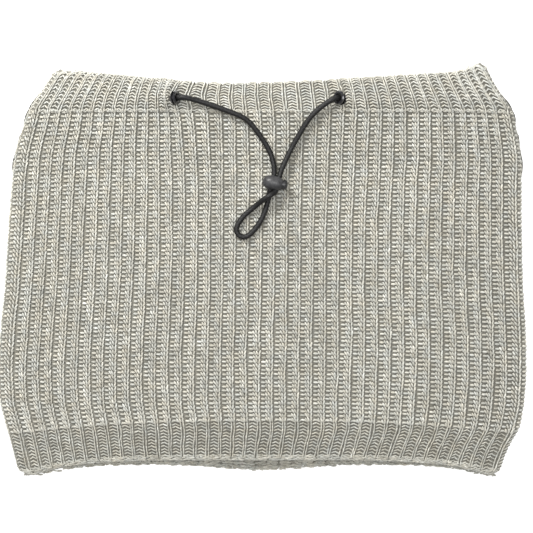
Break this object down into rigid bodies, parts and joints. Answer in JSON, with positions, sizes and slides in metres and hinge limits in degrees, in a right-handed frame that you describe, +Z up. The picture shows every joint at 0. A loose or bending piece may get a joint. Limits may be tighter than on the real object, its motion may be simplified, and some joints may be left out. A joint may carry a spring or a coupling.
{
  "type": "neck gaiter",
  "caption": "Ribbed wool knit neck tube, lying flat, with a turned-in casing, eyelets and an elastic drawcord closed by a sprung cord lock.",
  "frame": {"origin": "on the surface that the gaiter lies on, under the middle of the flat tube's box", "axes": "+X across the width of the flat tube, +Y from the hem towards the drawcord casing, +Z up, away from the surface, with the eyelets and the lock on the upper side"},
  "size_m": [0.2885, 0.2248, 0.0261],
  "materials": {
    "wool_knit": "heather grey wool rib knit",
    "wool_thread": "wool sewing thread",
    "elastic_cord": "black braided elastic",
    "eyelet_enamel": "gloss black enamel",
    "washer_steel": "darkened steel",
    "barrel_plastic": "satin moulded",
    "button_plastic": "satin moulded",
    "spring_steel": "bright wire"
  },
  "bodies": {
    "gaiter": {"front_body_panel": "wool_knit", "back_body_panel": "wool_knit", "front_hem_band": "wool_knit", "back_hem_band": "wool_knit", "front_casing_outer": "wool_knit", "front_casing_inner": "wool_knit", "back_casing_outer": "wool_knit", "back_casing_inner": "wool_knit", "left_side_seam": "wool_knit", "right_side_seam": "wool_knit", "front_casing_stitching": "wool_thread", "back_casing_stitching": "wool_thread", "left_eyelet": "eyelet_enamel", "right_eyelet": "eyelet_enamel", "left_eyelet_washer": "washer_steel", "right_eyelet_washer": "washer_steel", "channel_cord_left": "elastic_cord", "channel_cord_right": "elastic_cord", "cord_join_sleeve": "washer_steel", "drawcord_left_strand": "elastic_cord", "drawcord_right_strand": "elastic_cord", "drawcord_loop": "elastic_cord"},
    "lock": {"lock_barrel": "barrel_plastic", "lock_spring": "spring_steel"},
    "plunger": {"lock_plunger": "button_plastic"}
  },
  "joints": [
    {"name": "lock_slide", "type": "slide", "parent": "gaiter", "child": "lock", "axis": [0.1735, 0.9842, 0.035], "range_m": [-0.004, 0.012], "deforming": ["drawcord_left_strand", "drawcord_right_strand", "drawcord_loop"]},
    {"name": "plunger_press", "type": "slide", "parent": "lock", "child": "plunger", "axis": [-0.9848, 0.1736, 0], "range_m": [0, 0.0008], "stiffness_N_per_m": 500, "springref_m": -0.0006, "deforming": ["lock_spring"]}
  ]
}
